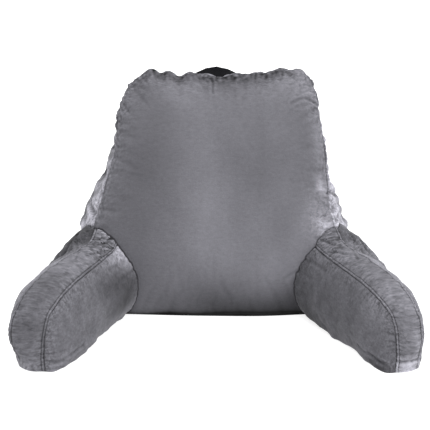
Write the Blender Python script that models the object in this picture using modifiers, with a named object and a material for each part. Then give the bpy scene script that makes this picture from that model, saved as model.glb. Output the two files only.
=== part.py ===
"""Reading pillow with arms: a stuffed back rest, two stuffed arms and a webbing carry handle.

Metres, +Z up, +Y to the back. The pillow stands on the floor at Z = 0 and faces -Y.
Each stuffed part is a boxed cushion: two panels joined by a strip, sewn together along its edges.
A cushion starts as a cube cut into a grid, and each grid point is moved to its place between
the seams, then out by the crown of the panel or strip that it lies on.
"""

import math
from collections import namedtuple

import bmesh
import bpy
import numpy as np
from mathutils import Vector
from mathutils.bvhtree import BVHTree

# Driving dimensions.
DEPTH_OFFSET = 0.024  # moves the whole pillow back so that its box is centred on the origin
CLEARANCE = 0.0006  # between an arm and the back rest where they are sewn together
TOP_FRONT_Y = 0.105
TOP_REAR_Y = 0.205
FLOOR_BOW = 0.014  # how far the back rest's floor edge runs forward in its middle
FRONT_CROWN = 0.040  # how far the stuffed panels stand out from the plane of their seams
REAR_CROWN = 0.022
ARM_STRIP_CROWN = 0.010
LEFT_ARM_WIDER = 0.014  # the left arm's end is this much wider than the right arm's

# How full each face is drawn: powers of an arch, where a lower power is fuller.
BACK_ARCH_ACROSS = 0.55
BACK_ARCH_UP = 0.60
BACK_STRIP_ARCH = 0.70
ARM_INNER_ARCH = 0.60
ARM_OUTER_ARCH = 0.45
ARM_STRIP_ARCH = 0.80
GATHER_FADE = 16  # the gathers' power of height: they have gone a tenth of the way down
CORNER_SHARPNESS = 6  # how quickly a strip's face turns at the outline's corners

# The webbing handle.
STRAP_WIDTH = 0.038
STRAP_THICKNESS = 0.0025
STRAP_END_LIFT = 0.0012  # over the strip that its ends are sewn to
STRAP_Y = 0.151

ON_FACE = 0.999  # a grid point past this lies on that face of the cube
CUTTER_FOOT = 0.02  # how far the cutter reaches below the floor
CROWDING = 0.35  # how much the grid closes up towards the seams

# Grid cells along, across and up each cushion.
BACK_CELLS = (38, 8, 28)
ARM_CELLS = (24, 8, 14)
STRAP_CELLS = (40, 4)

Point = namedtuple("Point", "x y z")
Side = namedtuple("Side", "z front_y front_left front_right rear_y rear_left rear_right fullness")
Top = namedtuple("Top", "front_x front_z rear_x rear_z")
Gather = namedtuple("Gather", "x lift reach")
ArmCrown = namedtuple("ArmCrown", "along inner outer")
StrapRow = namedtuple("StrapRow", "x height tilt_deg")

# The back rest's two side edges, from the floor up: where the front and rear seams run,
# and how far the strip between them swells out.
SIDES = [
    Side(0.000, 0.012, 0.225, 0.225, 0.215, 0.245, 0.240, 0.010),
    Side(0.045, 0.006, 0.240, 0.238, 0.225, 0.266, 0.258, 0.016),
    Side(0.100, 0.009, 0.245, 0.238, 0.231, 0.270, 0.262, 0.018),
    Side(0.175, 0.027, 0.240, 0.232, 0.232, 0.260, 0.250, 0.018),
    Side(0.215, 0.037, 0.228, 0.224, 0.229, 0.246, 0.233, 0.015),
    Side(0.262, 0.050, 0.214, 0.218, 0.224, 0.224, 0.220, 0.010),
    Side(0.320, 0.065, 0.200, 0.213, 0.219, 0.201, 0.206, 0.005),
    Side(0.385, 0.083, 0.193, 0.203, 0.212, 0.186, 0.194, 0.004),
    Side(0.420, 0.093, 0.184, 0.199, 0.208, 0.173, 0.184, 0.001),
]

# Its top edge, from the left corner to the right one.
TOPS = [
    Top(-0.171, 0.445, -0.158, 0.424),
    Top(-0.142, 0.467, -0.130, 0.438),
    Top(-0.070, 0.466, -0.065, 0.441),
    Top(0.000, 0.464, 0.000, 0.440),
    Top(0.070, 0.468, 0.065, 0.441),
    Top(0.135, 0.473, 0.125, 0.440),
    Top(0.168, 0.471, 0.152, 0.434),
    Top(0.188, 0.454, 0.170, 0.422),
]
TOP_FULLNESS = -0.013  # the strip is slack along the top and sinks between its seams

# Gathers that lift the front seam along the top, or let it sink.
GATHERS = [
    Gather(-0.126, 0.008, 0.013),
    Gather(-0.109, -0.004, 0.008),
    Gather(-0.093, 0.005, 0.011),
    Gather(-0.071, -0.004, 0.010),
    Gather(-0.045, 0.004, 0.014),
    Gather(0.010, -0.004, 0.016),
    Gather(0.127, 0.007, 0.013),
    Gather(0.164, 0.003, 0.010),
]

# Seams of the right arm, from the back rest forward and from the floor up.
INNER_TOP = [
    Point(0.168, 0.130, 0.150),
    Point(0.183, 0.050, 0.149),
    Point(0.198, -0.020, 0.142),
    Point(0.216, -0.080, 0.138),
    Point(0.240, -0.150, 0.135),
    Point(0.263, -0.215, 0.131),
    Point(0.281, -0.264, 0.122),
    Point(0.299, -0.296, 0.103),
]
INNER_FRONT = [
    Point(0.314, -0.286, 0.000),
    Point(0.312, -0.290, 0.035),
    Point(0.307, -0.295, 0.075),
    Point(0.299, -0.296, 0.103),
]
OUTER_TOP = [
    Point(0.232, 0.130, 0.172),
    Point(0.233, 0.060, 0.176),
    Point(0.236, 0.015, 0.173),
    Point(0.242, -0.025, 0.162),
    Point(0.262, -0.075, 0.156),
    Point(0.287, -0.130, 0.152),
    Point(0.311, -0.190, 0.146),
    Point(0.333, -0.258, 0.134),
    Point(0.348, -0.303, 0.110),
]
OUTER_FRONT = [
    Point(0.352, -0.270, 0.000),
    Point(0.353, -0.290, 0.040),
    Point(0.352, -0.304, 0.080),
    Point(0.348, -0.303, 0.110),
]
INNER_FLOOR = [
    Point(0.160, 0.130, 0.000),
    Point(0.186, 0.000, 0.000),
    Point(0.221, -0.110, 0.000),
    Point(0.260, -0.205, 0.000),
    Point(0.290, -0.280, 0.000),
    Point(0.314, -0.286, 0.000),
]
OUTER_FLOOR = [
    Point(0.240, 0.130, 0.000),
    Point(0.284, 0.092, 0.000),
    Point(0.304, 0.030, 0.000),
    Point(0.317, -0.050, 0.000),
    Point(0.333, -0.150, 0.000),
    Point(0.346, -0.230, 0.000),
    Point(0.352, -0.270, 0.000),
]
ARM_ACROSS = Vector((0.95, -0.31, 0.0))  # square to the right arm, pointing outwards

# How far the arm's two panels stand out, from its root to its front end.
ARM_CROWNS = [
    ArmCrown(0.00, 0.040, 0.012),
    ArmCrown(0.14, 0.041, 0.046),
    ArmCrown(0.30, 0.042, 0.062),
    ArmCrown(0.55, 0.038, 0.050),
    ArmCrown(0.80, 0.028, 0.030),
    ArmCrown(0.92, 0.016, 0.016),
    ArmCrown(1.00, 0.000, 0.004),
]

# The handle's arch, from its left end to its right end: how high it stands over the strip
# that its ends are sewn to, and how far it tips forward from lying along that strip.
STRAP_ROWS = [
    StrapRow(-0.100, 0.0000, 0.0),
    StrapRow(-0.078, 0.0000, 0.0),
    StrapRow(-0.060, 0.0040, 6.0),
    StrapRow(-0.040, 0.0110, 18.0),
    StrapRow(-0.020, 0.0190, 30.0),
    StrapRow(0.002, 0.0220, 38.0),
    StrapRow(0.022, 0.0185, 30.0),
    StrapRow(0.042, 0.0105, 18.0),
    StrapRow(0.062, 0.0040, 6.0),
    StrapRow(0.080, 0.0000, 0.0),
    StrapRow(0.102, 0.0000, 0.0),
]


def rail(points):
    """A smooth curve through the points: a function from 0..1 to an array of positions."""
    knots = np.array(points, float)
    steps = np.linalg.norm(np.diff(knots, axis=0), axis=1)
    at = np.concatenate([[0], np.cumsum(steps)]) / steps.sum()
    slopes = np.gradient(knots, at, axis=0)

    def position(t):
        t = np.clip(np.atleast_1d(t), 0, 1)
        i = np.clip(np.searchsorted(at, t, side="right") - 1, 0, len(at) - 2)
        span = (at[i + 1] - at[i])[:, None]
        u = ((t - at[i])[:, None]) / span
        return (
            (2 * u**3 - 3 * u**2 + 1) * knots[i]
            + (u**3 - 2 * u**2 + u) * span * slopes[i]
            + (3 * u**2 - 2 * u**3) * knots[i + 1]
            + (u**3 - u**2) * span * slopes[i + 1]
        )

    return position


def patch(floor, top, start, end, i, j):
    """A Coons patch between four rails: i runs from start to end, j from floor to top."""
    zero, one = np.zeros(1), np.ones(1)
    u, v = i[:, None], j[:, None]
    corners = (
        (1 - u) * (1 - v) * floor(zero)
        + u * (1 - v) * floor(one)
        + (1 - u) * v * top(zero)
        + u * v * top(one)
    )
    return (1 - v) * floor(i) + v * top(i) + (1 - u) * start(j) + u * end(j) - corners


def arch(t, power):
    """0 at both ends of 0..1 and 1 in the middle; a low power is fuller."""
    return np.sin(np.pi * np.clip(t, 0, 1)) ** power


def column(rows, key, name, at):
    """One column of a table, read between its rows at the given values of another column."""
    return np.interp(at, [getattr(row, key) for row in rows], [getattr(row, name) for row in rows])


def outline_normal(a, c):
    """The way a strip's point faces: along a on the sides, up on the top, blended at corners."""
    power = CORNER_SHARPNESS
    out = np.stack([np.sign(a) * np.abs(a) ** power, np.maximum(c, 0) ** power], axis=1)
    return out / np.maximum(np.linalg.norm(out, axis=1), 1e-9)[:, None]


def back_rest(a, b, c):
    """Where a point of the cube lies on the back rest: a left to right, b front to back, c up."""
    i, j, k = (a + 1) / 2, (c + 1) / 2, (b + 1) / 2
    foot = SIDES[0]
    front_top = [Point(row.front_x, TOP_FRONT_Y, row.front_z) for row in TOPS]
    rear_top = [Point(row.rear_x, TOP_REAR_Y, row.rear_z) for row in TOPS]
    front_left = [Point(-row.front_left, row.front_y, row.z) for row in SIDES] + front_top[:1]
    front_right = [Point(row.front_right, row.front_y, row.z) for row in SIDES] + front_top[-1:]
    rear_left = [Point(-row.rear_left, row.rear_y, row.z) for row in SIDES] + rear_top[:1]
    rear_right = [Point(row.rear_right, row.rear_y, row.z) for row in SIDES] + rear_top[-1:]
    front_floor = [front_left[0], Point(0, foot.front_y - FLOOR_BOW, 0), front_right[0]]
    rear_floor = [rear_left[0], Point(0, foot.rear_y + FLOOR_BOW, 0), rear_right[0]]
    front = patch(rail(front_floor), rail(front_top), rail(front_left), rail(front_right), i, j)
    rear = patch(rail(rear_floor), rail(rear_top), rail(rear_left), rail(rear_right), i, j)
    # The gathers are strongest on the seam and die away down the panel.
    for gather in GATHERS:
        near = np.exp(-(((front[:, 0] - gather.x) / gather.reach) ** 2)) * j**GATHER_FADE
        front[:, 2] += gather.lift * near
    place = (1 - k)[:, None] * front + k[:, None] * rear
    crown = arch(i, BACK_ARCH_ACROSS) * arch(j, BACK_ARCH_UP)
    place[:, 1] -= np.where(b < -ON_FACE, FRONT_CROWN * crown, 0)
    place[:, 1] += np.where(b > ON_FACE, REAR_CROWN * crown, 0)
    # The strip swells out at the sides and sinks along the top.
    out = outline_normal(a, c)
    side_fullness = column(SIDES, "z", "fullness", place[:, 2])
    fullness = side_fullness * (1 - out[:, 1] ** 2) + TOP_FULLNESS * out[:, 1] ** 2
    on_strip = np.maximum(np.abs(a), c) > ON_FACE
    bulge = np.where(on_strip, fullness * arch(k, BACK_STRIP_ARCH), 0)
    place[:, 0] += out[:, 0] * bulge
    place[:, 2] += out[:, 1] * bulge
    place[c < -ON_FACE, 2] = 0
    place[:, 1] += DEPTH_OFFSET
    return place


def arm(a, b, c, side):
    """Where a point of the cube lies on an arm: a root to front, b inner to outer, c up."""
    i, j, k = (a + 1) / 2, (c + 1) / 2, (b + 1) / 2
    inner_root = [INNER_FLOOR[0], INNER_TOP[0]]
    outer_root = [OUTER_FLOOR[0], OUTER_TOP[0]]
    inner = patch(
        rail(INNER_FLOOR), rail(INNER_TOP), rail(inner_root), rail(INNER_FRONT), i, j
    )
    outer = patch(
        rail(OUTER_FLOOR), rail(OUTER_TOP), rail(outer_root), rail(OUTER_FRONT), i, j
    )
    if side < 0:
        inner[:, 0] -= LEFT_ARM_WIDER * i**2
    place = (1 - k)[:, None] * inner + k[:, None] * outer
    across = np.array(ARM_ACROSS)
    inner_crown = column(ARM_CROWNS, "along", "inner", i) * arch(j, ARM_INNER_ARCH)
    outer_crown = column(ARM_CROWNS, "along", "outer", i) * arch(j, ARM_OUTER_ARCH)
    place -= np.where(b < -ON_FACE, inner_crown, 0)[:, None] * across
    place += np.where(b > ON_FACE, outer_crown, 0)[:, None] * across
    out = outline_normal(np.maximum(a, 0), c)
    on_strip = np.maximum(a, c) > ON_FACE
    bulge = np.where(on_strip, ARM_STRIP_CROWN * arch(k, ARM_STRIP_ARCH), 0)
    place[:, 0] -= across[1] * out[:, 0] * bulge
    place[:, 1] -= across[0] * out[:, 0] * bulge
    place[:, 2] += out[:, 1] * bulge
    place[c < -ON_FACE, 2] = 0
    place[:, 0] *= side
    place[:, 1] += DEPTH_OFFSET
    return place


# ---- building ----


def even_cuts(cells):
    """Cuts between -1 and 1, a little closer together towards the ends."""
    t = np.linspace(-1, 1, cells + 1)[1:-1]
    return (1 - CROWDING) * t + CROWDING * np.sin(t * math.pi / 2)


def cut_cube(cells):
    """A cube from -1 to 1 with its faces cut into a grid."""
    mesh = bmesh.new()
    bmesh.ops.create_cube(mesh, size=2)
    for axis, count in enumerate(cells):
        normal = Vector((axis == 0, axis == 1, axis == 2))
        for cut in even_cuts(count):
            everything = mesh.verts[:] + mesh.edges[:] + mesh.faces[:]
            bmesh.ops.bisect_plane(mesh, geom=everything, plane_co=normal * cut, plane_no=normal)
    return mesh


def shape_cushion(cells, place, grow=0.0, below=0.0):
    """A cushion's bmesh; grow moves its surface outwards and below pushes its foot down."""
    mesh = cut_cube(cells)
    cube = np.array([vertex.co[:] for vertex in mesh.verts])
    for vertex, position in zip(mesh.verts, place(*cube.T)):
        vertex.co = position
    if mesh.calc_volume(signed=True) < 0:
        bmesh.ops.reverse_faces(mesh, faces=mesh.faces[:])
    if grow:
        mesh.normal_update()
        steps = [vertex.normal * grow for vertex in mesh.verts]
        for vertex, step in zip(mesh.verts, steps):
            vertex.co += step
        for vertex, c in zip(mesh.verts, cube[:, 2]):
            if c < -ON_FACE:
                vertex.co.z = -below
    bmesh.ops.triangulate(mesh, faces=mesh.faces[:])
    return mesh


def add_object(name, mesh, collection, material=None):
    """A new object holding the bmesh, shaded smooth."""
    data = bpy.data.meshes.new(name)
    mesh.to_mesh(data)
    mesh.free()
    data.shade_smooth()
    obj = bpy.data.objects.new(name, data)
    collection.objects.link(obj)
    if material:
        data.materials.append(material)
    return obj


def make_material(name, colour, roughness, sheen=0.0):
    """A Principled material without metal."""
    material = bpy.data.materials.new(name)
    material.use_nodes = True
    shader = material.node_tree.nodes["Principled BSDF"]
    shader.inputs["Base Color"].default_value = (*colour, 1.0)
    shader.inputs["Roughness"].default_value = roughness
    shader.inputs["Metallic"].default_value = 0.0
    shader.inputs["Sheen Weight"].default_value = sheen
    return material


def build_arm(name, side, collection, cutter, material):
    """An arm, cut back to the face of the back rest that it is sewn to."""
    mesh = shape_cushion(ARM_CELLS, lambda a, b, c: arm(a, b, c, side))
    obj = add_object(name, mesh, collection, material)
    cut = obj.modifiers.new("sewn to the back rest", "BOOLEAN")
    cut.operation = "DIFFERENCE"
    cut.solver = "EXACT"
    cut.object = cutter
    return obj


def build_handle(back, collection, material):
    """The carry handle: a webbing strap that follows the top strip at its ends and arches over it."""
    surface = BVHTree.FromPolygons(
        [vertex.co for vertex in back.data.vertices],
        [polygon.vertices for polygon in back.data.polygons],
    )
    mesh = bmesh.new()
    along, across = STRAP_CELLS
    bmesh.ops.create_grid(mesh, x_segments=along, y_segments=across, size=1)
    half_length = STRAP_ROWS[-1].x
    middle_y = STRAP_Y + DEPTH_OFFSET
    for vertex in mesh.verts:
        x = vertex.co.x * half_length
        reach = vertex.co.y * STRAP_WIDTH / 2
        tilt = math.radians(column(STRAP_ROWS, "x", "tilt_deg", x))
        arch_height = column(STRAP_ROWS, "x", "height", x)
        y = middle_y + reach * math.cos(tilt)
        ground = surface.ray_cast(Vector((x, y, 1)), Vector((0, 0, -1)))[0].z
        vertex.co = Vector((x, y, ground + STRAP_END_LIFT + arch_height + reach * math.sin(tilt)))
    obj = add_object("handle_strap", mesh, collection, material)
    thicken = obj.modifiers.new("thickness", "SOLIDIFY")
    thicken.thickness = STRAP_THICKNESS
    thicken.offset = 1.0
    return obj


def main():
    for obj in list(bpy.data.objects):
        bpy.data.objects.remove(obj)
    pillow = bpy.data.collections.new("reading_pillow")
    cutters = bpy.data.collections.new("cutters")
    for collection in (pillow, cutters):
        bpy.context.scene.collection.children.link(collection)
    velvet = make_material("velvet", (0.16, 0.16, 0.18), 0.85, sheen=0.6)
    webbing = make_material("webbing", (0.010, 0.010, 0.012), 0.75)

    back = add_object("back_cushion", shape_cushion(BACK_CELLS, back_rest), pillow, velvet)
    grown = shape_cushion(BACK_CELLS, back_rest, grow=CLEARANCE, below=CUTTER_FOOT)
    cutter = add_object("back_cushion_cutter", grown, cutters)
    cutter.hide_render = True
    cutter.display_type = "WIRE"
    build_arm("arm_left", -1, pillow, cutter, velvet)
    build_arm("arm_right", 1, pillow, cutter, velvet)
    build_handle(back, pillow, webbing)


if __name__ == "__main__":
    main()
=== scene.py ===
"""Looks of the reading pillow: velvet cushions with their seams, gathers and creases, the webbing
handle, floor, light and camera. Metres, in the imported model's frame.

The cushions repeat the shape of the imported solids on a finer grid. A short cloth simulation
inflates them between their seams; the seams, gathers and creases follow as moves of the points.
"""

import math
from collections import namedtuple

import bmesh
import bpy
import numpy as np
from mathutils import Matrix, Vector
from mathutils.bvhtree import BVHTree


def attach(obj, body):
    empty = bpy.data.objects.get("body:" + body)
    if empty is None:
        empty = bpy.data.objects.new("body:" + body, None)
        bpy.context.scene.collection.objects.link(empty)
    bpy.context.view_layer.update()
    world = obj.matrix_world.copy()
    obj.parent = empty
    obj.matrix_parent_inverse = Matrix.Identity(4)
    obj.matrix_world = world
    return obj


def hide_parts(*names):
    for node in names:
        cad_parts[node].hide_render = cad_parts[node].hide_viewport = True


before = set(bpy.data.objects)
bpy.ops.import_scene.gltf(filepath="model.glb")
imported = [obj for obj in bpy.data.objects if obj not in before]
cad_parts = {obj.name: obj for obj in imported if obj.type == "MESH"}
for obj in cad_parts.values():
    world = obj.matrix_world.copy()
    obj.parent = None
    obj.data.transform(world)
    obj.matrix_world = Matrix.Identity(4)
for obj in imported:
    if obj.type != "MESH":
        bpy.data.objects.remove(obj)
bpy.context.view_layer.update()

# ---- the pillow's sizes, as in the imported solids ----

DEPTH_OFFSET = 0.024
TOP_FRONT_Y = 0.105
TOP_REAR_Y = 0.205
FLOOR_BOW = 0.014
FRONT_CROWN = 0.040
REAR_CROWN = 0.022
ARM_STRIP_CROWN = 0.010
LEFT_ARM_WIDER = 0.014
BACK_ARCH_ACROSS = 0.55
BACK_ARCH_UP = 0.60
BACK_STRIP_ARCH = 0.70
ARM_INNER_ARCH = 0.60
ARM_OUTER_ARCH = 0.45
ARM_STRIP_ARCH = 0.80
GATHER_FADE = 16
CORNER_SHARPNESS = 6
STRAP_WIDTH = 0.038
STRAP_THICKNESS = 0.0025
STRAP_END_LIFT = 0.0012
STRAP_Y = 0.151
ON_FACE = 0.999  # a grid point past this lies on that face of the cube
CROWDING = 0.35  # how much the grid closes up towards the seams

Point = namedtuple("Point", "x y z")
Side = namedtuple("Side", "z front_y front_left front_right rear_y rear_left rear_right fullness")
Top = namedtuple("Top", "front_x front_z rear_x rear_z")
Gather = namedtuple("Gather", "x lift reach")
ArmCrown = namedtuple("ArmCrown", "along inner outer")
StrapRow = namedtuple("StrapRow", "x height tilt_deg")

# The back rest's two side edges, from the floor up: where the front and rear seams run,
# and how far the strip between them swells out.
SIDES = [
    Side(0.000, 0.012, 0.225, 0.225, 0.215, 0.245, 0.240, 0.010),
    Side(0.045, 0.006, 0.240, 0.238, 0.225, 0.266, 0.258, 0.016),
    Side(0.100, 0.009, 0.245, 0.238, 0.231, 0.270, 0.262, 0.018),
    Side(0.175, 0.027, 0.240, 0.232, 0.232, 0.260, 0.250, 0.018),
    Side(0.215, 0.037, 0.228, 0.224, 0.229, 0.246, 0.233, 0.015),
    Side(0.262, 0.050, 0.214, 0.218, 0.224, 0.224, 0.220, 0.010),
    Side(0.320, 0.065, 0.200, 0.213, 0.219, 0.201, 0.206, 0.005),
    Side(0.385, 0.083, 0.193, 0.203, 0.212, 0.186, 0.194, 0.004),
    Side(0.420, 0.093, 0.184, 0.199, 0.208, 0.173, 0.184, 0.001),
]

# Its top edge, from the left corner to the right one.
TOPS = [
    Top(-0.171, 0.445, -0.158, 0.424),
    Top(-0.142, 0.467, -0.130, 0.438),
    Top(-0.070, 0.466, -0.065, 0.441),
    Top(0.000, 0.464, 0.000, 0.440),
    Top(0.070, 0.468, 0.065, 0.441),
    Top(0.135, 0.473, 0.125, 0.440),
    Top(0.168, 0.471, 0.152, 0.434),
    Top(0.188, 0.454, 0.170, 0.422),
]
TOP_FULLNESS = -0.013  # the strip is slack along the top and sinks between its seams

# Gathers that lift the front seam along the top, or let it sink.
GATHERS = [
    Gather(-0.126, 0.008, 0.013),
    Gather(-0.109, -0.004, 0.008),
    Gather(-0.093, 0.005, 0.011),
    Gather(-0.071, -0.004, 0.010),
    Gather(-0.045, 0.004, 0.014),
    Gather(0.010, -0.004, 0.016),
    Gather(0.127, 0.007, 0.013),
    Gather(0.164, 0.003, 0.010),
]

# Seams of the right arm, from the back rest forward and from the floor up.
INNER_TOP = [
    Point(0.168, 0.130, 0.150),
    Point(0.183, 0.050, 0.149),
    Point(0.198, -0.020, 0.142),
    Point(0.216, -0.080, 0.138),
    Point(0.240, -0.150, 0.135),
    Point(0.263, -0.215, 0.131),
    Point(0.281, -0.264, 0.122),
    Point(0.299, -0.296, 0.103),
]
INNER_FRONT = [
    Point(0.314, -0.286, 0.000),
    Point(0.312, -0.290, 0.035),
    Point(0.307, -0.295, 0.075),
    Point(0.299, -0.296, 0.103),
]
OUTER_TOP = [
    Point(0.232, 0.130, 0.172),
    Point(0.233, 0.060, 0.176),
    Point(0.236, 0.015, 0.173),
    Point(0.242, -0.025, 0.162),
    Point(0.262, -0.075, 0.156),
    Point(0.287, -0.130, 0.152),
    Point(0.311, -0.190, 0.146),
    Point(0.333, -0.258, 0.134),
    Point(0.348, -0.303, 0.110),
]
OUTER_FRONT = [
    Point(0.352, -0.270, 0.000),
    Point(0.353, -0.290, 0.040),
    Point(0.352, -0.304, 0.080),
    Point(0.348, -0.303, 0.110),
]
INNER_FLOOR = [
    Point(0.160, 0.130, 0.000),
    Point(0.186, 0.000, 0.000),
    Point(0.221, -0.110, 0.000),
    Point(0.260, -0.205, 0.000),
    Point(0.290, -0.280, 0.000),
    Point(0.314, -0.286, 0.000),
]
OUTER_FLOOR = [
    Point(0.240, 0.130, 0.000),
    Point(0.284, 0.092, 0.000),
    Point(0.304, 0.030, 0.000),
    Point(0.317, -0.050, 0.000),
    Point(0.333, -0.150, 0.000),
    Point(0.346, -0.230, 0.000),
    Point(0.352, -0.270, 0.000),
]
ARM_ACROSS = Vector((0.95, -0.31, 0.0))  # square to the right arm, pointing outwards

# How far the arm's two panels stand out, from its root to its front end.
ARM_CROWNS = [
    ArmCrown(0.00, 0.040, 0.012),
    ArmCrown(0.14, 0.041, 0.046),
    ArmCrown(0.30, 0.042, 0.062),
    ArmCrown(0.55, 0.038, 0.050),
    ArmCrown(0.80, 0.028, 0.030),
    ArmCrown(0.92, 0.016, 0.016),
    ArmCrown(1.00, 0.000, 0.004),
]

# The handle's arch, from its left end to its right end: how high it stands over the strip
# that its ends are sewn to, and how far it tips forward from lying along that strip.
STRAP_ROWS = [
    StrapRow(-0.100, 0.0000, 0.0),
    StrapRow(-0.078, 0.0000, 0.0),
    StrapRow(-0.060, 0.0040, 6.0),
    StrapRow(-0.040, 0.0110, 18.0),
    StrapRow(-0.020, 0.0190, 30.0),
    StrapRow(0.002, 0.0220, 38.0),
    StrapRow(0.022, 0.0185, 30.0),
    StrapRow(0.042, 0.0105, 18.0),
    StrapRow(0.062, 0.0040, 6.0),
    StrapRow(0.080, 0.0000, 0.0),
    StrapRow(0.102, 0.0000, 0.0),
]

# ---- the looks' own sizes ----

BACK_CELLS = (92, 28, 96)
ARM_CELLS = (96, 20, 38)
STRAP_CELLS = (160, 24)
STRAP_SAG = 0.95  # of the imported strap's height above the back rest
STRAP_FREE_HEIGHT = 0.0048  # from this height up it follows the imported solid, not the cloth
ARM_CLEARANCE = 0.0005  # between an arm and the back rest
SEAM_REACH = 0.020  # how far from a seam its distance is kept for the material
LIFT = 0.0006  # how far above the floor a wall starts
CUTTER_FOOT = 0.02
SHARP_ANGLE_DEG = 70
LEFT_ARM_SEED = 40
RIGHT_ARM_SEED = 60

# The cloth simulation: how many frames it runs, and the Cloth modifier's settings.
CLOTH_FRAMES = 20
CLOTH = {
    "quality": 6,
    "mass": 0.01,
    "tension_stiffness": 15.0,
    "compression_stiffness": 15.0,
    "shear_stiffness": 5.0,
    "bending_stiffness": 0.02,
    "tension_damping": 1.0,
    "compression_damping": 1.0,
    "shear_damping": 1.0,
    "air_damping": 1.0,
    "use_pressure": True,
    "uniform_pressure_force": 8.0,
    "vertex_group_mass": "pins",
    "pin_stiffness": 1.0,
    "vertex_group_shrink": "held to size",
    "shrink_max": 0.0,
}

# How much larger than its shape each part's cloth is cut, and how far a point may move.
BACK_STRIP_GROWTH = 0.065
BACK_REAR_GROWTH = 0.015
BACK_FRONT_GROWTH = 0.005
BACK_TOP_CAP = 0.003
BACK_SIDE_CAP = 0.009
BACK_PANEL_CAP = 0.008
BACK_LET_IN = 0.009  # the side strips start this much inside their shape
LET_IN_ARCH = 0.8
ARM_GROWTH = 0.004
ARM_INNER_CAP = 0.004
ARM_CAP = 0.007
ARM_INNER_SLACK = 0.5  # the inner panel's share of the arm's growth
ARMHOLE_REACH = 0.016  # how far the armhole's pull reaches into an arm
ARMHOLE_GROWTH_LOST = 0.6  # and the shares of its growth and its waves that it takes away
ARMHOLE_CALM = 0.8

BASE_BULGE_TALL = 0.08
STITCH_PLACE = 0.0052  # how far from an arm's seam its topstitching runs
STITCH_LENGTH = 0.0042
ARMHOLE_DRAW = 0.0022  # how deep the armhole's seam draws an arm in, and the back rest
BACK_DRAW = 0.0018
DRAW_FADE = 0.0025
PUCKER_FADE = 0.010
RIM_FADE = 0.014
REAR_PLEAT_SHARE = 0.5
PUCKER_SEED = 90
WAVE_COUNT = 28
WAVE_SPREAD = (0.65, 1.5)
# Beside the seams the waves are weaker: the share lost on the seam and how fast it comes back.
BACK_CALM, BACK_CALM_FADE = 0.7, 0.012
ARM_CALM, ARM_CALM_FADE = 0.6, 0.010

# Gathers differ: each one's place in its stretch, length, width, depth and lean.
PLEAT_PLACES = (0.1, 0.9)
PLEAT_LENGTHS = (0.4, 1.6)
PLEAT_WIDTHS = (0.16, 0.30)
PLEAT_DEPTHS = (0.1, 1.5)
PLEAT_LEAN = 0.18
PLEAT_REACH = 2.4  # how many of its lengths a gather is followed into the cloth
PLEAT_BESIDE = 0.05  # and how far along the seam
PLEAT_SPREAD = 0.8
FOLD_RIDGE_SHARE = 0.25
FOLD_RIDGE_PLACE = 2.2  # in widths of the fold

# How many rounds of smoothing each part gets. The left end of the top strip, and the turn of
# an arm's strip, get their own; where they are is given on the cube, from -1 to 1.
CORNER_ACROSS = (-0.98, -0.60)
CORNER_BEHIND = 0.4
CORNER_ROUNDS = 8
TURN_FROM = 0.86
TURN_ABOVE = 0.55
TURN_ROUNDS = 24
SEAM_ROUNDS = 2
BACK_ROUNDS = 2
ARM_ROUNDS = 5

# Where the band of painted shade under the top seam fades in and out, on the cube, and how dark its
# tufts are.
TOP_SHADE_UP = (0.60, 0.90)
TOP_SHADE_LEFT = (-0.88, -0.68)
TOP_SHADE_RIGHT = (0.64, 0.78)
PAINTED_TOP_SHADE = 0.50
TOP_SEAM_OFFSET = 0.0022  # the top seam counts as this far away, so it shows no dark line
SEAM_MOTTLE_REACH = 0.012
# Streaks of painted shade, as of shallow gathers beside the side seams.
STREAK_SHADE = 220  # how much darker the cloth is for each metre that a streak would be deep

# How crushed the pile is.
BACK_CRUSH = 0.16
BACK_STRIP_CRUSH = 0.8
BACK_REAR_CRUSH = 0.2
ARM_INNER_CRUSH = 0.42
ARM_CRUSH = 0.60
ARM_OUTER_ROOT_CRUSH = 0.40
LEFT_ARM_CRUMPLED = 0.75
RIGHT_ARM_CRUMPLED = 0.40
BACK_GRAIN = (0.4, 1, 1)  # the streaks' coordinates are shortened along the way they run
ARM_STRIP_GRAIN = (0.25, 1, 1)
ARM_GRAIN_SHORTENED = 0.75

# Painted light and shade from the cloth's relief: heights that show as a clear ridge in narrow
# folds and in broad ones.
FINE_RELIEF, FINE_ROUNDS = 0.0004, 4
BROAD_RELIEF, BROAD_ROUNDS = 0.0012, 30
RELIEF_SHADE = 0.42
SMOOTH_PANEL_SHARE = 0.4  # of that on the back rest's smooth panels
RELIEF_SEAM_WIDTH = 0.003

VELVET_GREY = (0.107, 0.1055, 0.118)
WEBBING_BLACK = (0.0034, 0.0034, 0.0046)
WEFT_PITCH = 0.0022  # of the webbing's weave, along and across the strap
WARP_PITCH = 0.0030
# Painted crease lines: a painted highlight line beside a painted shade line.
CREASE_VALUES = (0.50, 0.44)  # a light crease line runs where the noise is the first
CREASE_SHARPNESS = 26.0
LINE_SHARES = (0.6, 1.3)  # the least and the most of a seam's line
STITCH_HALF_WIDTH = 0.0006
STITCH_GAP_BELOW = -0.45  # where the dashes' sine is under this, no thread shows
STITCH_SHADE = 0.45

CAMERA_DISTANCE = 2.2
CAMERA_HEIGHT = 0.77
CAMERA_PITCH_DEG = 14.4
CAMERA_LENS = 98.3
CAMERA_X = -0.002
FLOOR_SIZE = 60
FLOOR_MIDDLE = (0, 8, -0.0005)
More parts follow.
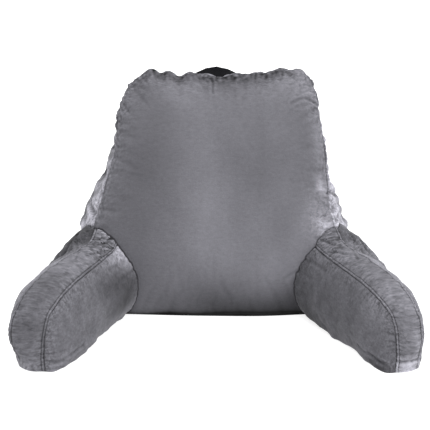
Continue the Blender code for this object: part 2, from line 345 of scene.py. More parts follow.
# Where an arm's inner side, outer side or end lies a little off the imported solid's: the middle
# and half sizes of the place, in fractions of that face, and how far inwards, forwards and up.
Shift = namedtuple("Shift", "face along up long tall inward forward rise")
LEFT_ARM_SHIFTS = [
    Shift("front", 0.785, 0, 0.08, 0.38, 0.0155, 0, 0),
    Shift("front", 0.70, 0, 0.06, 0.35, 0.004, 0, 0),
    Shift("front", 0.98, 0, 0.05, 0.14, 0, 0.012, 0),
    Shift("front", 0.30, 0.60, 0.15, 0.35, 0.011, 0, 0),
    Shift("front", 0.27, 1.00, 0.06, 0.25, 0, 0, 0.010),
    Shift("rear", 1.00, 0.15, 0.15, 0.30, 0.008, 0, 0),
    Shift("rear", 0.14, 0.85, 0.12, 0.40, -0.006, 0, 0),
]
RIGHT_ARM_SHIFTS = [
    Shift("front", 0.80, 0, 0.10, 0.25, 0.003, 0, 0),
    Shift("front", 0.98, 0, 0.05, 0.14, 0, 0.010, 0),
    Shift("front", 0.48, 0, 0.12, 0.25, 0.006, 0, 0),
    Shift("front", 0.30, 0.55, 0.15, 0.40, 0.010, 0, 0),
    Shift("rear", 0.98, 0, 0.08, 0.18, -0.004, 0, 0),
    Shift("rear", 0.28, 1.00, 0.10, 0.30, -0.003, 0, 0),
    Shift("end", 0.98, 0, 0.06, 0.16, 0, 0.006, 0),
]

# Gathers along a seam: from and to in metres from the seam's start, the spacing of the folds,
# how deep they are, how far they run into the cloth and how far they lean along the seam.
Pleats = namedtuple("Pleats", "start end spacing depth length lean")

# The back rest's front seam runs up the left side, over the top and down the right side.
FRONT_PANEL_PLEATS = [
    Pleats(0.10, 0.46, 0.0070, 0.0004, 0.050, 0),
    Pleats(0.30, 0.49, 0.0075, 0.0009, 0.016, 0.1),
    Pleats(0.49, 0.66, 0.0080, 0.0006, 0.012, 0),
    Pleats(0.62, 0.80, 0.0080, 0.0006, 0.012, 0),
    Pleats(0.78, 0.92, 0.0090, 0.0007, 0.018, -0.1),
    Pleats(0.92, 1.22, 0.0110, 0.0005, 0.018, 0),
]
# Where the streaks of painted shade run, laid out like gathers.
PANEL_SHADE_STREAKS = [
    Pleats(0.12, 0.50, 0.0065, 0.0004, 0.060, 0.1),
    Pleats(0.80, 1.10, 0.0075, 0.0003, 0.040, -0.1),
]
STRIP_PLEATS = [
    Pleats(0.12, 0.50, 0.0110, 0.0022, 0.028, 0.2),
    Pleats(0.49, 0.80, 0.0130, 0.0012, 0.014, 0),
    Pleats(0.80, 1.22, 0.0130, 0.0018, 0.025, -0.2),
]
ARM_PANEL_PLEATS = [
    Pleats(0.18, 0.44, 0.0080, 0.0007, 0.014, 0.2),
    Pleats(0.38, 0.54, 0.0065, 0.0017, 0.014, 0),
]
ARM_STRIP_PLEATS = [
    Pleats(0.10, 0.34, 0.0085, 0.0007, 0.014, 0.3),
    Pleats(0.34, 0.56, 0.0070, 0.0014, 0.014, 0),
]

# Folds in the cloth, on one face of a cushion: the two ends in fractions of that face, how far
# the middle bows upwards, the fold's depth (below 0 it stands out) and its width.
Fold = namedtuple("Fold", "face u1 v1 u2 v2 bow depth width")
BACK_FOLDS = [
    # Forked gathers under the top seam.
    Fold("front", 0.463, 0.981, 0.469, 0.925, 0, 0.0028, 0.0022),
    Fold("front", 0.419, 0.994, 0.462, 0.978, 0, 0.0018, 0.0022),
    Fold("front", 0.505, 0.996, 0.464, 0.976, 0, 0.0018, 0.0022),
    Fold("front", 0.788, 0.994, 0.803, 0.950, 0, 0.0013, 0.0022),
    Fold("front", 0.838, 0.988, 0.804, 0.950, 0, 0.0011, 0.0022),
    # The upper right corner.
    Fold("front", 0.844, 0.988, 0.900, 0.931, 0.004, 0.0013, 0.0026),
    Fold("front", 0.931, 0.981, 0.850, 0.930, 0, 0.0008, 0.0022),
    Fold("front", 0.888, 0.925, 0.995, 0.962, 0.004, 0.0009, 0.0022),
    Fold("front", 0.881, 0.894, 0.994, 0.938, 0.004, 0.0011, 0.0024),
    Fold("front", 0.850, 0.863, 0.990, 0.884, 0.012, 0.0023, 0.0029),
    Fold("front", 0.831, 0.825, 0.930, 0.858, 0.010, 0.0006, 0.0026),
    # The upper left corner.
    Fold("front", 0.020, 0.892, 0.069, 0.844, 0, 0.0012, 0.0022),
    Fold("front", 0.020, 0.838, 0.069, 0.866, 0, 0.0011, 0.0022),
    Fold("front", 0.020, 0.975, 0.131, 0.925, 0.004, 0.0010, 0.0024),
    Fold("front", 0.080, 0.990, 0.150, 0.938, 0.004, 0.0011, 0.0024),
    Fold("front", 0.150, 0.995, 0.190, 0.950, 0, 0.0011, 0.0024),
    # A tuck in the right side, above the armhole, and a soft crease beside the right arm.
    Fold("front", 0.945, 0.508, 1.000, 0.520, 0.006, 0.0022, 0.0031),
    Fold("front", 0.781, 0.175, 0.840, 0.200, 0.004, 0.0008, 0.0034),
    # The strips at the sides are crumpled.
    Fold("left", 0.05, 0.29, 0.75, 0.33, 0, 0.0030, 0.0045),
    Fold("left", 0.05, 0.43, 0.70, 0.47, 0, 0.0045, 0.0047),
    Fold("left", 0.05, 0.56, 0.60, 0.62, 0, 0.0032, 0.0043),
    Fold("left", 0.05, 0.72, 0.60, 0.70, 0, 0.0024, 0.0038),
    Fold("left", 0.05, 0.83, 0.70, 0.86, 0, 0.0024, 0.0038),
    Fold("left", 0.35, 0.345, 0.65, 0.335, 0, -0.0080, 0.0120),
    Fold("right", 0.35, 0.345, 0.65, 0.335, 0, -0.0060, 0.0110),
    Fold("right", 0, 0.52, 0.60, 0.47, 0, 0.0040, 0.0043),
    Fold("right", 0.05, 0.40, 0.70, 0.46, 0, 0.0036, 0.0051),
    Fold("right", 0.05, 0.61, 0.60, 0.66, 0, 0.0024, 0.0043),
    Fold("right", 0.05, 0.76, 0.60, 0.74, 0, 0.0019, 0.0038),
]
ARM_FOLDS = [
    # Crumpled cloth on the strip where the arm leaves the back rest.
    Fold("top", 0.30, 0.25, 0.42, 0.55, 0, 0.0017, 0.0032),
    Fold("top", 0.34, 0.80, 0.46, 0.50, 0, 0.0014, 0.0031),
    Fold("top", 0.42, 0.15, 0.52, 0.42, 0, 0.0016, 0.0029),
    Fold("top", 0.50, 0.75, 0.58, 0.55, 0, 0.0012, 0.0027),
    Fold("top", 0.55, 0.10, 0.64, 0.30, 0, 0.0008, 0.0027),
    # Soft folds from the armhole over the inner panel.
    Fold("front", 0.27, 0.80, 0.52, 0.90, 0.03, 0.0011, 0.0038),
    Fold("front", 0.27, 0.66, 0.48, 0.72, 0.02, 0.0009, 0.0043),
    # The outer panel sags in folds beside the back rest.
    Fold("rear", 0.22, 0.92, 0.40, 0.80, 0.03, 0.0032, 0.0043),
    Fold("rear", 0.20, 0.72, 0.46, 0.62, 0.03, 0.0032, 0.0051),
    Fold("rear", 0.36, 0.94, 0.56, 0.88, 0.02, 0.0019, 0.0034),
    Fold("front", 0.84, 0.20, 0.995, 0.10, 0, 0.0013, 0.0031),
    Fold("front", 0.90, 0.08, 0.99, 0.16, 0, 0.0009, 0.0026),
]
# The left arm's end is creased where it stands, the right arm's is tucked in above the floor.
LEFT_ARM_FOLDS = ARM_FOLDS + [
    Fold("top", 0.29, 0.60, 0.40, 0.30, 0, 0.0016, 0.0028),
    Fold("top", 0.38, 0.95, 0.34, 0.55, 0, 0.0016, 0.0026),
    Fold("right", 0.30, 0, 0.36, 0.10, 0, 0.0022, 0.0028),
    Fold("right", 0.62, 0, 0.56, 0.07, 0, 0.0018, 0.0026),
    Fold("right", 0.80, 0.02, 0.70, 0.16, 0, 0.0012, 0.0030),
    Fold("front", 0.93, 0.035, 0.995, 0.05, 0, 0.0014, 0.0024),
]
RIGHT_ARM_FOLDS = ARM_FOLDS + [
    Fold("right", 0.04, 0.165, 0.96, 0.175, 0.01, 0.0024, 0.0027),
    Fold("front", 0.90, 0.19, 0.98, 0.08, 0, 0.0016, 0.0026),
]

# Painted shade in a seam's groove and painted highlights on the ridges beside it: how light the
# cloth is beside a seam, by the distance from it; above 0 is a topstitched side.
Profile = namedtuple("Profile", "distance value")
SEAM_PAINTED_LIGHT = [
    Profile(-0.0100, 1.00),
    Profile(-0.0018, 1.00),
    Profile(-0.0009, 0.70),
    Profile(0, 0.34),
    Profile(0.0007, 0.72),
    Profile(0.0014, 1.10),
    Profile(0.0034, 1.16),
    Profile(0.0044, 1.00),
    Profile(0.0051, 0.66),
    Profile(0.0059, 0.78),
    Profile(0.0068, 1.00),
    Profile(0.0100, 1.00),
]
# The same painted shade and highlights beside the armholes: below 0 on the back rest and above 0 on
# the arms.
ARMHOLE_PAINTED_LIGHT = [
    Profile(-0.0100, 1.00),
    Profile(-0.0062, 1.00),
    Profile(-0.0048, 1.10),
    Profile(-0.0034, 1.14),
    Profile(-0.0022, 0.78),
    Profile(-0.0012, 0.42),
    Profile(0, 0.28),
    Profile(0.0012, 0.24),
    Profile(0.0020, 0.66),
    Profile(0.0028, 1.10),
    Profile(0.0040, 1.04),
    Profile(0.0050, 0.84),
    Profile(0.0062, 1.10),
    Profile(0.0078, 1.00),
    Profile(0.0100, 1.00),
]
# How light or dark the brushed pile lies, together with painted light and shade: painted sheen on
# the side strips, painted shade near the floor and on faces turned away from the lamps. Each is a
# soft patch on one face of a cushion, its middle and its half sizes in fractions of that face, and
# how much lighter (or, below 0, darker) it is.
PileAndLightPatch = namedtuple("PileAndLightPatch", "face across up wide tall shade")
BACK_PILE_AND_PAINTED_LIGHT = [
    PileAndLightPatch("front", 0.48, 0.40, 0.12, 0.30, 0.24),
    PileAndLightPatch("front", 0.19, 0.60, 0.13, 0.28, -0.28),
    PileAndLightPatch("front", 0.57, 0.66, 0.06, 0.22, -0.10),
    PileAndLightPatch("front", 0.66, 0.60, 0.08, 0.24, -0.12),
    PileAndLightPatch("front", 0.80, 0.55, 0.12, 0.30, -0.06),
    PileAndLightPatch("front", 0.67, 0.38, 0.06, 0.10, 0.20),
    PileAndLightPatch("front", 0.32, 0.92, 0.08, 0.06, 0.20),
    PileAndLightPatch("front", 0.78, 0.91, 0.12, 0.06, 0.18),
    PileAndLightPatch("front", 0.90, 0.72, 0.05, 0.12, -0.14),
    PileAndLightPatch("front", 0.72, 0.20, 0.11, 0.08, 0.26),
    PileAndLightPatch("front", 0.93, 0.39, 0.07, 0.08, 0.60),
    PileAndLightPatch("front", 0.97, 0.37, 0.030, 0.04, 1.30),
    PileAndLightPatch("front", 0.84, 0.26, 0.05, 0.10, 0.20),
    PileAndLightPatch("front", 0.970, 0.545, 0.025, 0.030, 1.30),
    PileAndLightPatch("front", 0.98, 0.72, 0.04, 0.12, 0.30),
    PileAndLightPatch("front", 0.93, 0.94, 0.08, 0.05, 0.35),
    PileAndLightPatch("front", 0.17, 0.25, 0.06, 0.12, -0.15),
    PileAndLightPatch("front", 0.47, 0.12, 0.09, 0.08, -0.20),
    PileAndLightPatch("front", 0.55, 0.97, 0.08, 0.05, -0.20),
    PileAndLightPatch("front", 0.64, 0, 0.40, 0.12, -0.76),
    PileAndLightPatch("front", 0.50, 0, 0.80, 0.025, -0.45),
    PileAndLightPatch("front", 0.82, 0.02, 0.10, 0.08, -0.12),
    PileAndLightPatch("front", 0.50, 0, 0.80, 0.010, -0.60),
    PileAndLightPatch("left", 0.18, 0.40, 0.34, 0.30, 1.50),
    PileAndLightPatch("right", 0.18, 0.40, 0.34, 0.16, 1.52),
    PileAndLightPatch("right", 0.18, 0.66, 0.34, 0.18, 0.95),
]
LEFT_ARM_PILE_AND_PAINTED_LIGHT = [
    PileAndLightPatch("front", 0.43, 0.58, 0.16, 0.32, -0.56),
    PileAndLightPatch("front", 0.50, 0.34, 0.10, 0.15, -0.34),
    PileAndLightPatch("front", 0.34, 0.89, 0.09, 0.15, 0.85),
    PileAndLightPatch("front", 0.42, 0.97, 0.10, 0.08, 0.40),
    PileAndLightPatch("front", 0.60, 0.74, 0.11, 0.13, -0.22),
    PileAndLightPatch("front", 0.78, 0.55, 0.10, 0.15, 0.14),
    PileAndLightPatch("front", 0.75, 0.50, 0.28, 0.60, -0.26),
    PileAndLightPatch("rear", 0.24, 0.90, 0.20, 0.45, -0.80),
    PileAndLightPatch("rear", 0.72, 0.95, 0.22, 0.30, 0.60),
    PileAndLightPatch("rear", 0.96, 0.42, 0.06, 0.30, 0.80),
    PileAndLightPatch("top", 0.94, 0.50, 0.12, 0.60, -0.34),
    PileAndLightPatch("top", 0.82, 0.45, 0.07, 0.35, -0.20),
    PileAndLightPatch("top", 0.38, 0.50, 0.09, 0.50, -0.34),
    PileAndLightPatch("top", 0.64, 0.45, 0.12, 0.40, 0.12),
    PileAndLightPatch("top", 0.62, 0.03, 0.13, 0.07, -0.42),
    PileAndLightPatch("right", 0.04, 0.45, 0.06, 0.50, -0.35),
    PileAndLightPatch("right", 0.50, 0.80, 0.50, 0.24, -0.42),
    PileAndLightPatch("right", 0.50, 0.40, 0.60, 0.30, -0.14),
    PileAndLightPatch("right", 0.75, 0.04, 0.40, 0.14, 0.55),
]
RIGHT_ARM_PILE_AND_PAINTED_LIGHT = [
    PileAndLightPatch("front", 0.34, 0.45, 0.14, 0.50, -0.30),
    PileAndLightPatch("front", 0.31, 0.82, 0.08, 0.14, -0.26),
    PileAndLightPatch("front", 0.45, 0.14, 0.12, 0.17, -0.42),
    PileAndLightPatch("front", 0.62, 0.45, 0.40, 0.60, -0.39),
    PileAndLightPatch("front", 0.46, 0, 0.10, 0.08, -0.50),
    PileAndLightPatch("front", 0.92, 0.80, 0.07, 0.25, 0.22),
    PileAndLightPatch("front", 0.95, 0.03, 0.08, 0.07, -0.58),
    PileAndLightPatch("rear", 0.28, 0.98, 0.13, 0.22, -0.60),
    PileAndLightPatch("rear", 0.22, 0.66, 0.10, 0.14, 0.45),
    PileAndLightPatch("rear", 0.96, 0.50, 0.06, 0.30, 0.80),
    PileAndLightPatch("rear", 0.62, 0.95, 0.24, 0.30, 0.50),
    PileAndLightPatch("top", 0.90, 0.55, 0.12, 0.60, 0.22),
    PileAndLightPatch("top", 0.34, 0.50, 0.08, 0.60, -0.16),
    PileAndLightPatch("top", 0.52, 0.20, 0.07, 0.20, 0.16),
    PileAndLightPatch("right", 0.55, 0.60, 0.50, 0.40, 0.16),
    PileAndLightPatch("right", 0.80, 0.40, 0.15, 0.30, 0.40),
    PileAndLightPatch("right", 0.50, 0.08, 0.60, 0.15, 1.60),
]


def rail(points):
    """A smooth curve through the points: a function from 0..1 to an array of positions."""
    knots = np.array(points, float)
    steps = np.linalg.norm(np.diff(knots, axis=0), axis=1)
    at = np.concatenate([[0], np.cumsum(steps)]) / steps.sum()
    slopes = np.gradient(knots, at, axis=0)

    def position(t):
        t = np.clip(np.atleast_1d(t), 0, 1)
        i = np.clip(np.searchsorted(at, t, side="right") - 1, 0, len(at) - 2)
        span = (at[i + 1] - at[i])[:, None]
        u = ((t - at[i])[:, None]) / span
        return (
            (2 * u**3 - 3 * u**2 + 1) * knots[i]
            + (u**3 - 2 * u**2 + u) * span * slopes[i]
            + (3 * u**2 - 2 * u**3) * knots[i + 1]
            + (u**3 - u**2) * span * slopes[i + 1]
        )

    return position


def patch(floor, top, start, end, i, j):
    """A Coons patch between four rails: i runs from start to end, j from floor to top."""
    zero, one = np.zeros(1), np.ones(1)
    u, v = i[:, None], j[:, None]
    corners = (
        (1 - u) * (1 - v) * floor(zero)
        + u * (1 - v) * floor(one)
        + (1 - u) * v * top(zero)
        + u * v * top(one)
    )
    return (1 - v) * floor(i) + v * top(i) + (1 - u) * start(j) + u * end(j) - corners


def arch(t, power):
    """0 at both ends of 0..1 and 1 in the middle; a low power is fuller."""
    return np.sin(np.pi * np.clip(t, 0, 1)) ** power


def column(rows, key, name, at):
    """One column of a table, read between its rows at the given values of another column."""
    return np.interp(at, [getattr(row, key) for row in rows], [getattr(row, name) for row in rows])


def outline_normal(a, c):
    """The way a strip's point faces: along a on the sides, up on the top, blended at corners."""
    power = CORNER_SHARPNESS
    out = np.stack([np.sign(a) * np.abs(a) ** power, np.maximum(c, 0) ** power], axis=1)
    return out / np.maximum(np.linalg.norm(out, axis=1), 1e-9)[:, None]


def back_rest(a, b, c):
    """Where a point of the cube lies on the back rest: a left to right, b front to back, c up."""
    i, j, k = (a + 1) / 2, (c + 1) / 2, (b + 1) / 2
    foot = SIDES[0]
    front_top = [Point(row.front_x, TOP_FRONT_Y, row.front_z) for row in TOPS]
    rear_top = [Point(row.rear_x, TOP_REAR_Y, row.rear_z) for row in TOPS]
    front_left = [Point(-row.front_left, row.front_y, row.z) for row in SIDES] + front_top[:1]
    front_right = [Point(row.front_right, row.front_y, row.z) for row in SIDES] + front_top[-1:]
    rear_left = [Point(-row.rear_left, row.rear_y, row.z) for row in SIDES] + rear_top[:1]
    rear_right = [Point(row.rear_right, row.rear_y, row.z) for row in SIDES] + rear_top[-1:]
    front_floor = [front_left[0], Point(0, foot.front_y - FLOOR_BOW, 0), front_right[0]]
    rear_floor = [rear_left[0], Point(0, foot.rear_y + FLOOR_BOW, 0), rear_right[0]]
    front = patch(rail(front_floor), rail(front_top), rail(front_left), rail(front_right), i, j)
    rear = patch(rail(rear_floor), rail(rear_top), rail(rear_left), rail(rear_right), i, j)
    # The gathers are strongest on the seam and die away down the panel.
    for gather in GATHERS:
        near = np.exp(-(((front[:, 0] - gather.x) / gather.reach) ** 2)) * j**GATHER_FADE
        front[:, 2] += gather.lift * near
    place = (1 - k)[:, None] * front + k[:, None] * rear
    crown = arch(i, BACK_ARCH_ACROSS) * arch(j, BACK_ARCH_UP)
    place[:, 1] -= np.where(b < -ON_FACE, FRONT_CROWN * crown, 0)
    place[:, 1] += np.where(b > ON_FACE, REAR_CROWN * crown, 0)
    # The strip swells out at the sides and sinks along the top.
    out = outline_normal(a, c)
    side_fullness = column(SIDES, "z", "fullness", place[:, 2])
    fullness = side_fullness * (1 - out[:, 1] ** 2) + TOP_FULLNESS * out[:, 1] ** 2
    on_strip = np.maximum(np.abs(a), c) > ON_FACE
    bulge = np.where(on_strip, fullness * arch(k, BACK_STRIP_ARCH), 0)
    place[:, 0] += out[:, 0] * bulge
    place[:, 2] += out[:, 1] * bulge
    place[c < -ON_FACE, 2] = 0
    place[:, 1] += DEPTH_OFFSET
    return place


def arm(a, b, c, side):
    """Where a point of the cube lies on an arm: a root to front, b inner to outer, c up."""
    i, j, k = (a + 1) / 2, (c + 1) / 2, (b + 1) / 2
    inner_root = [INNER_FLOOR[0], INNER_TOP[0]]
    outer_root = [OUTER_FLOOR[0], OUTER_TOP[0]]
    inner = patch(
        rail(INNER_FLOOR), rail(INNER_TOP), rail(inner_root), rail(INNER_FRONT), i, j
    )
    outer = patch(
        rail(OUTER_FLOOR), rail(OUTER_TOP), rail(outer_root), rail(OUTER_FRONT), i, j
    )
    if side < 0:
        inner[:, 0] -= LEFT_ARM_WIDER * i**2
    place = (1 - k)[:, None] * inner + k[:, None] * outer
    across = np.array(ARM_ACROSS)
    inner_crown = column(ARM_CROWNS, "along", "inner", i) * arch(j, ARM_INNER_ARCH)
    outer_crown = column(ARM_CROWNS, "along", "outer", i) * arch(j, ARM_OUTER_ARCH)
    place -= np.where(b < -ON_FACE, inner_crown, 0)[:, None] * across
    place += np.where(b > ON_FACE, outer_crown, 0)[:, None] * across
    out = outline_normal(np.maximum(a, 0), c)
    on_strip = np.maximum(a, c) > ON_FACE
    bulge = np.where(on_strip, ARM_STRIP_CROWN * arch(k, ARM_STRIP_ARCH), 0)
    place[:, 0] -= across[1] * out[:, 0] * bulge
    place[:, 1] -= across[0] * out[:, 0] * bulge
    place[:, 2] += out[:, 1] * bulge
    place[c < -ON_FACE, 2] = 0
    place[:, 0] *= side
    place[:, 1] += DEPTH_OFFSET
    return place


def even_cuts(cells):
    """Cuts between -1 and 1, a little closer together towards the ends."""
    t = np.linspace(-1, 1, cells + 1)[1:-1]
    return (1 - CROWDING) * t + CROWDING * np.sin(t * math.pi / 2)


def cut_cube(cells):
    """A cube from -1 to 1 with its faces cut into a grid."""
    mesh = bmesh.new()
    bmesh.ops.create_cube(mesh, size=2)
    for axis, count in enumerate(cells):
        normal = Vector((axis == 0, axis == 1, axis == 2))
        for cut in even_cuts(count):
            everything = mesh.verts[:] + mesh.edges[:] + mesh.faces[:]
            bmesh.ops.bisect_plane(mesh, geom=everything, plane_co=normal * cut, plane_no=normal)
    return mesh


def read_vectors(data, name):
    """A vector property of every item, such as every vertex's co, as an array."""
    values = np.empty(len(data) * 3)
    data.foreach_get(name, values)
    return values.reshape(-1, 3)


def read_points(mesh):
    return read_vectors(mesh.vertices, "co")


def read_normals(mesh):
    return read_vectors(mesh.vertices, "normal")


def write_points(mesh, points):
    mesh.vertices.foreach_set("co", np.ascontiguousarray(points, float).ravel())
    mesh.update()


def read_values(mesh, name):
    values = np.empty(len(mesh.vertices))
    mesh.attributes[name].data.foreach_get("value", values)
    return values


def write_values(mesh, **columns):
    """Stores numbers on every vertex, for the material to read."""
    for name, values in columns.items():
        attribute = mesh.attributes.get(name) or mesh.attributes.new(name, "FLOAT", "POINT")
        attribute.data.foreach_set("value", values)


def write_vectors(mesh, name, vectors):
    attribute = mesh.attributes.new(name, "FLOAT_VECTOR", "POINT")
    attribute.data.foreach_set("vector", np.ascontiguousarray(vectors, float).ravel())


Faces = namedtuple("Faces", "a b c i j k left right front rear top floor panel strip seam")


def read_faces(mesh, is_arm=False):
    """Each point's place on the cube, from -1 to 1 and from 0 to 1, and the faces it lies on.

    The strip runs over the top and both sides, or, on an arm, over the top and the front end.
    """
    a, b, c = read_vectors(mesh.attributes["cube"].data, "vector").T
    panel = np.abs(b) > ON_FACE
    strip = np.maximum(a if is_arm else np.abs(a), c) > ON_FACE
    places = (a, b, c, (a + 1) / 2, (c + 1) / 2, (b + 1) / 2)
    sides = (a < -ON_FACE, a > ON_FACE, b < -ON_FACE, b > ON_FACE, c > ON_FACE, c < -ON_FACE)
    return Faces(*places, *sides, panel, strip, panel & strip)


def ripples(points, height, length, seed, stretch=(1, 1, 1)):
    """Smooth unevenness around 0 of about this wavelength: sines in random directions."""
    random = np.random.default_rng(seed)
    directions = random.normal(size=(WAVE_COUNT, 3))
    directions /= np.linalg.norm(directions, axis=1)[:, None]
    directions *= (2 * np.pi / length * random.uniform(*WAVE_SPREAD, WAVE_COUNT))[:, None]
    phases = random.uniform(0, 2 * np.pi, WAVE_COUNT)
    scaled = points / np.array(stretch, float)
    total = np.zeros(len(points))
    for direction, phase in zip(directions, phases):
        total += np.sin(scaled @ direction + phase)
    return height * math.sqrt(2 / WAVE_COUNT) * total


def bell(distance, width):
    return np.exp(-((distance / width) ** 2))


def spot(at, amount, width, middle=0):
    """How much a soft spot adds at each place."""
    return amount * bell(at - middle, width)


def near_line(points, line):
    """For each point, its distance to a polyline and how far along it the nearest place is."""
    gap = np.full(len(points), np.inf)
    along = np.zeros(len(points))
    travelled = 0.0
    for start, end in zip(line[:-1], line[1:]):
        step = end - start
        length = np.linalg.norm(step)
        t = np.clip((points - start) @ step / length**2, 0, 1)
        distance = np.linalg.norm(points - start - t[:, None] * step, axis=1)
        nearer = distance < gap
        gap[nearer] = distance[nearer]
        along[nearer] = travelled + t[nearer] * length
        travelled += length
    return gap, along


def seam_line(place, *corners, steps=60):
    """The seam that runs straight from corner to corner of the cube, as points in space."""
    runs = []
    for start, end in zip(corners[:-1], corners[1:]):
        t = np.linspace(0, 1, steps + 1)[:, None]
        runs.append(np.array(start) * (1 - t) + np.array(end) * t)
    cube = np.concatenate([runs[0]] + [run[1:] for run in runs[1:]]).astype(float)
    return place(*cube.T)


def pleat_depth(gap, along, rows, seed):
    """How far a seam's gathers sink the cloth: narrow folds square to the seam, all different."""
    random = np.random.default_rng(seed)
    total = np.zeros(len(gap))
    for row in rows:
        count = max(1, round((row.end - row.start) / row.spacing))
        for number in range(count):
            middle = row.start + row.spacing * (number + random.uniform(*PLEAT_PLACES))
            length = row.length * random.uniform(*PLEAT_LENGTHS)
            width = row.spacing * random.uniform(*PLEAT_WIDTHS)
            depth = row.depth * random.uniform(*PLEAT_DEPTHS)
            lean = row.lean + random.normal() * PLEAT_LEAN
            beside = np.abs(along - middle) < PLEAT_BESIDE
            chosen = np.flatnonzero(beside & (gap < PLEAT_REACH * length))
            if not len(chosen):
                continue
            reach = gap[chosen]
            spread = width * (1 + PLEAT_SPREAD * reach / length)
            across = along[chosen] - middle - lean * reach
            total[chosen] += depth * bell(across, spread) * bell(reach, length)
    return total


def fold_line(place, fold, steps=12):
    """A fold's course over a cushion, as points in space."""
    t = np.linspace(0, 1, steps + 1)
    u = fold.u1 + (fold.u2 - fold.u1) * t
    v = fold.v1 + (fold.v2 - fold.v1) * t + fold.bow * 4 * t * (1 - t)
    side = np.ones(len(t))
    courses = {
        "front": (2 * u - 1, -side, 2 * v - 1),
        "rear": (2 * u - 1, side, 2 * v - 1),
        "left": (-side, 2 * u - 1, 2 * v - 1),
        "right": (side, 2 * u - 1, 2 * v - 1),
        "top": (2 * u - 1, 2 * v - 1, side),
    }
    return place(*courses[fold.face])


def fold_depth(points, place, rows):
    """How far the folds sink the cloth: a valley with a low ridge along both its sides."""
    total = np.zeros(len(points))
    for row in rows:
        gap, _ = near_line(points, fold_line(place, row))
        ridge = FOLD_RIDGE_SHARE * bell(gap - FOLD_RIDGE_PLACE * row.width, row.width)
        total += row.depth * (bell(gap, row.width) - ridge)
    return total


def nap_shade(on, rows):
    """How light each point is painted, from the patches on the cushion's faces: brushed pile, and
    painted light and shade.
    """
    faces = {
        "front": (on.front, on.i, on.j),
        "rear": (on.rear, on.i, on.j),
        "right": (on.right, on.k, on.j),
        "left": (on.left, on.k, on.j),
        "top": (on.top, on.i, on.k),
    }
    shade = np.zeros(len(on.i))
    for row in rows:
        on_face, across, up = faces[row.face]
        soft = bell(across - row.across, row.wide) * bell(up - row.up, row.tall)
        shade += np.where(on_face, row.shade * soft, 0)
    return shade


def add_object(name, data):
    obj = bpy.data.objects.new(name, data)
    bpy.context.scene.collection.objects.link(obj)
    return obj


def make_cushion(name, cells, place):
    """A cushion object whose vertices remember their place on the cube."""
    mesh = cut_cube(cells)
    cube = np.array([vertex.co[:] for vertex in mesh.verts])
    for vertex, position in zip(mesh.verts, place(*cube.T)):
        vertex.co = position
    if mesh.calc_volume(signed=True) < 0:
        bmesh.ops.reverse_faces(mesh, faces=mesh.faces[:])
    data = bpy.data.meshes.new(name)
    mesh.to_mesh(data)
    mesh.free()
    write_vectors(data, "cube", cube)
    return add_object(name, data)


def inflate(obj, pinned, growth, cap):
    """Lets a cushion swell as cloth between its pinned points, then keeps the shape.

    growth is how much larger the cloth is cut than the shape, for each point.
    cap is how far a point may move, for each point.
    """
    rest = read_points(obj.data)
    pins = obj.vertex_groups.new(name=CLOTH["vertex_group_mass"])
    pins.add([int(i) for i in np.flatnonzero(pinned)], 1.0, "REPLACE")
    held = obj.vertex_groups.new(name=CLOTH["vertex_group_shrink"])
    most = growth.max()
    levels = np.round(1 - growth / most, 2)
    for level in np.unique(levels):
        held.add([int(i) for i in np.flatnonzero(levels == level)], float(level), "REPLACE")
    cloth = obj.modifiers.new("cloth", "CLOTH")
    settings = cloth.settings
    for name, value in CLOTH.items():
        setattr(settings, name, value)
    settings.effector_weights.gravity = 0
    settings.shrink_min = -float(most)
    cloth.collision_settings.use_collision = False
    scene = bpy.context.scene
    for number in range(1, CLOTH_FRAMES + 1):
        scene.frame_set(number)
    evaluated = obj.evaluated_get(bpy.context.evaluated_depsgraph_get())
    moved = read_points(evaluated.data)
    obj.modifiers.remove(cloth)
    obj.vertex_groups.clear()
    scene.frame_set(1)
    step = moved - rest
    length = np.linalg.norm(step, axis=1)
    allowed = cap * np.tanh(length / np.maximum(cap, 1e-9))
    points = rest + step * (allowed / np.maximum(length, 1e-9))[:, None]
    points[:, 2] = np.where(rest[:, 2] == 0, 0, np.maximum(points[:, 2], LIFT))
    write_points(obj.data, points)


def refine(obj, chosen):
    """Cuts in two the edges of the faces whose corners are chosen."""
    mesh = bmesh.new()
    mesh.from_mesh(obj.data)
    cube = mesh.verts.layers.float_vector["cube"]
    faces = [face for face in mesh.faces if chosen([vertex[cube] for vertex in face.verts])]
    edges = list({edge for face in faces for edge in face.edges})
    bmesh.ops.subdivide_edges(mesh, edges=edges, cuts=1, use_grid_fill=True)
    mesh.to_mesh(obj.data)
    mesh.free()


def evened(mesh, points, times, free=True):
    """The points, with the free ones moved towards their neighbours' average a few times."""
    pairs = np.empty(len(mesh.edges) * 2, int)
    mesh.edges.foreach_get("vertices", pairs)
    first, second = pairs.reshape(-1, 2).T
    ends, others = np.concatenate([first, second]), np.concatenate([second, first])
    number = len(points)
    count = np.bincount(ends, minlength=number)
    free = np.broadcast_to(free, number)
    for _ in range(times):
        sums = [np.bincount(ends, weights=column[others], minlength=number) for column in points.T]
        average = np.stack(sums, axis=1) / count[:, None]
        points = np.where(free[:, None], (points + average) / 2, points)
    return points


def smooth(obj, free, times):
    write_points(obj.data, evened(obj.data, read_points(obj.data), times, free))


def relief(mesh):
    """How far each point stands above the cloth around it, from -1 in a valley to 1 on a ridge."""
    points, normals = read_points(mesh), read_normals(mesh)
    total = np.zeros(len(points))
    for height, rounds in ((FINE_RELIEF, FINE_ROUNDS), (BROAD_RELIEF, BROAD_ROUNDS)):
        above = ((points - evened(mesh, points, rounds)) * normals).sum(axis=1)
        total += np.tanh(above / height) / 2
    return total


